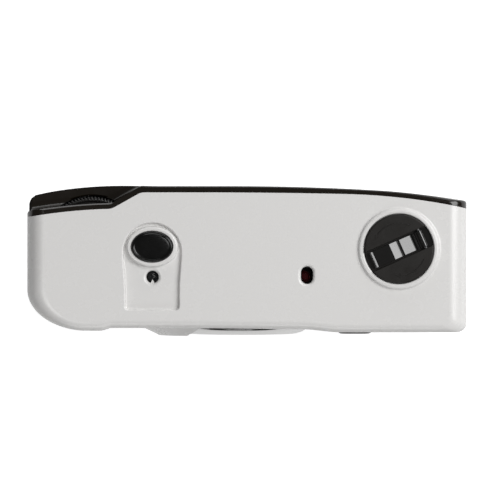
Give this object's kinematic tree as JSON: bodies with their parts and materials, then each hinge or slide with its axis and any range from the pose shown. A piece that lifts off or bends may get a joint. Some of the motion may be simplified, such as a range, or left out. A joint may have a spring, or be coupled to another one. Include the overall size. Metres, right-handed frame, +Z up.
{
  "type": "film camera",
  "caption": "Compact film camera with white housing, black hinged back, thumb wheel film advance, folding rewind crank and built-in flash.",
  "frame": {"origin": "on the base, under the middle of the whole camera's box", "axes": "+X from the shutter button to the rewind knob, +Y from the lens to the back, +Z up"},
  "size_m": [0.1141, 0.0396, 0.0639],
  "materials": {
    "white_gloss": "glossy white moulded plastic",
    "black_gloss": "glossy black moulded plastic",
    "black_plastic": "fine-grained black moulded plastic",
    "dark_plastic": "dark grey inner moulding",
    "ring_metal": "bright plated ring",
    "steel": "plain steel",
    "spring_steel": "spring steel",
    "reflector": "bright reflector foil",
    "clear": "clear plastic",
    "lens_glass": "coated lens",
    "lamp_red": "red lamp body",
    "circuit_board": "green circuit board",
    "capacitor_sleeve": "dark sleeve",
    "winding": "copper winding in yellow tape",
    "foam": "black light-seal foam",
    "dial": "black dial with pale figures"
  },
  "bodies": {
    "root": {"front_shell": "white_gloss", "rear_frame": "black_gloss", "chassis": "dark_plastic", "hinge_pin": "steel", "light_seals": "foam", "button_spring": "spring_steel", "wheel_pawl": "dark_plastic", "counter_window": "clear", "shutter_housing": "dark_plastic", "lens_holder": "black_plastic", "lens_ring": "ring_metal", "viewfinder_bezel": "black_gloss", "viewfinder_front_lens": "lens_glass", "viewfinder_tunnel": "dark_plastic", "viewfinder_eyepiece": "lens_glass", "flash_window": "clear", "flash_reflector": "reflector", "flash_tube": "clear", "flash_board": "circuit_board", "flash_capacitor": "capacitor_sleeve", "flash_transformer": "winding", "ready_lamp": "lamp_red", "lamp_window": "clear", "release_spring": "spring_steel", "battery_contact_plate": "spring_steel", "battery_contact_leaf": "spring_steel", "strap_bar": "steel", "housing_screws": "steel", "lens_front": "lens_glass", "lens_rear": "lens_glass"},
    "door": {"back_door": "black_plastic", "door_window": "clear", "pressure_plate": "steel", "pressure_spring": "spring_steel"},
    "latch": {"door_latch": "black_plastic"},
    "shutter_button": {"shutter_button": "black_gloss"},
    "film_wheel": {"advance_wheel": "black_plastic", "takeup_spool": "dark_plastic"},
    "sprocket": {"sprocket_shaft": "dark_plastic"},
    "dial": {"counter_dial": "dial"},
    "blade": {"shutter_blade": "steel"},
    "flash_button": {"flash_button": "black_gloss"},
    "rewind_lift": {"rewind_washer": "steel"},
    "rewind_knob": {"rewind_knob": "black_plastic", "rewind_shaft": "dark_plastic", "crank_pin": "steel"},
    "crank": {"crank_arm": "black_gloss"},
    "release_button": {"rewind_release": "black_plastic"},
    "battery_cover": {"battery_cover": "white_gloss"}
  },
  "joints": [
    {"name": "door_hinge", "type": "hinge", "parent": "root", "child": "door", "pos_m": [-0.0549, 0.0149, 0.025], "axis": [0, 0, 1], "range_deg": [0, 120]},
    {"name": "latch_slide", "type": "slide", "parent": "root", "child": "latch", "axis": [0, 0, -1], "range_m": [0, 0.003], "stiffness_N_per_m": 150},
    {"name": "shutter_press", "type": "slide", "parent": "root", "child": "shutter_button", "axis": [0, 0, -1], "range_m": [0, 0.0015], "stiffness_N_per_m": 250, "deforming": ["button_spring"]},
    {"name": "wheel_turn", "type": "hinge", "parent": "root", "child": "film_wheel", "pos_m": [-0.0403, 0.0033, 0.05], "axis": [0, 0, 1], "continuous": true},
    {"name": "sprocket_turn", "type": "hinge", "parent": "root", "child": "sprocket", "pos_m": [-0.022, 0.0069, 0.045], "axis": [0, 0, 1], "continuous": true},
    {"name": "dial_turn", "type": "hinge", "parent": "root", "child": "dial", "pos_m": [-0.0203, -0.0066, 0.055], "axis": [0, 0, 1], "continuous": true},
    {"name": "blade_swing", "type": "hinge", "parent": "root", "child": "blade", "pos_m": [-0.0015, -0.0107, 0.037], "axis": [0, 1, 0], "range_deg": [0, 40], "stiffness_Nm_per_rad": 0.0005},
    {"name": "flash_press", "type": "slide", "parent": "root", "child": "flash_button", "axis": [0, 1, 0], "range_m": [0, 0.0008], "stiffness_N_per_m": 250},
    {"name": "rewind_lift", "type": "slide", "parent": "root", "child": "rewind_lift", "axis": [0, 0, 1], "range_m": [0, 0.007]},
    {"name": "rewind_turn", "type": "hinge", "parent": "rewind_lift", "child": "rewind_knob", "pos_m": [0.0392, 0.0033, 0.062], "axis": [0, 0, 1], "continuous": true},
    {"name": "crank_fold", "type": "hinge", "parent": "rewind_knob", "child": "crank", "pos_m": [0.04505, 0.0059, 0.0628], "axis": [-0.4067, 0.9135, 0], "range_deg": [0, 150]},
    {"name": "release_press", "type": "slide", "parent": "root", "child": "release_button", "axis": [0, 0, 1], "range_m": [0, 0.0012], "stiffness_N_per_m": 150, "deforming": ["release_spring"]},
    {"name": "battery_cover_hinge", "type": "hinge", "parent": "root", "child": "battery_cover", "pos_m": [0, -0.0038, 0.00095], "axis": [1, 0, 0], "range_deg": [0, 100]}
  ],
  "couplings": [
    {"joint": "dial_turn", "follows": "sprocket_turn", "ratio": -0.025}
  ]
}
